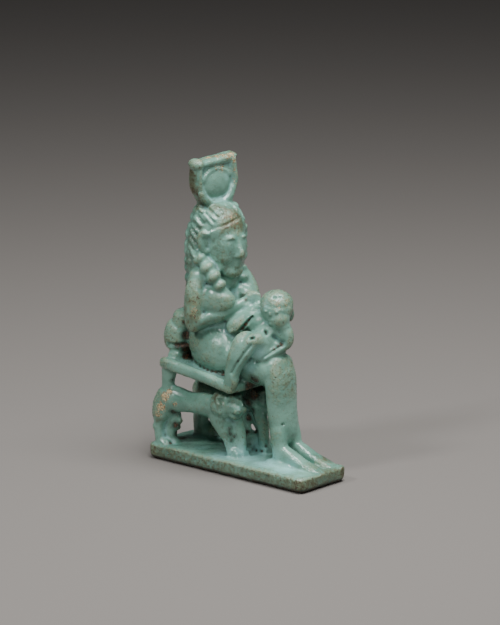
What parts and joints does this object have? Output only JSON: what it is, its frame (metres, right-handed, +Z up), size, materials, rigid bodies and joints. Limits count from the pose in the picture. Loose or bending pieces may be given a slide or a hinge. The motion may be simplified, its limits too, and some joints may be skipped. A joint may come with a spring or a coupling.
{
  "type": "isis and horus figure",
  "caption": "Glazed faience figurine of a seated goddess in a horned crown nursing a child on a lion throne, on a thin rectangular plinth it stands on.",
  "frame": {"origin": "middle of the plinth's underside, on the surface that it stands on", "axes": "+Z up, the goddess faces -Y, +X is her left hand side"},
  "size_m": [0.0138, 0.0368, 0.0562],
  "materials": {
    "faience": "glossy, pooled and worn in places"
  },
  "bodies": {
    "root": {"isis_and_horus_figure": "faience"}
  },
  "joints": []
}
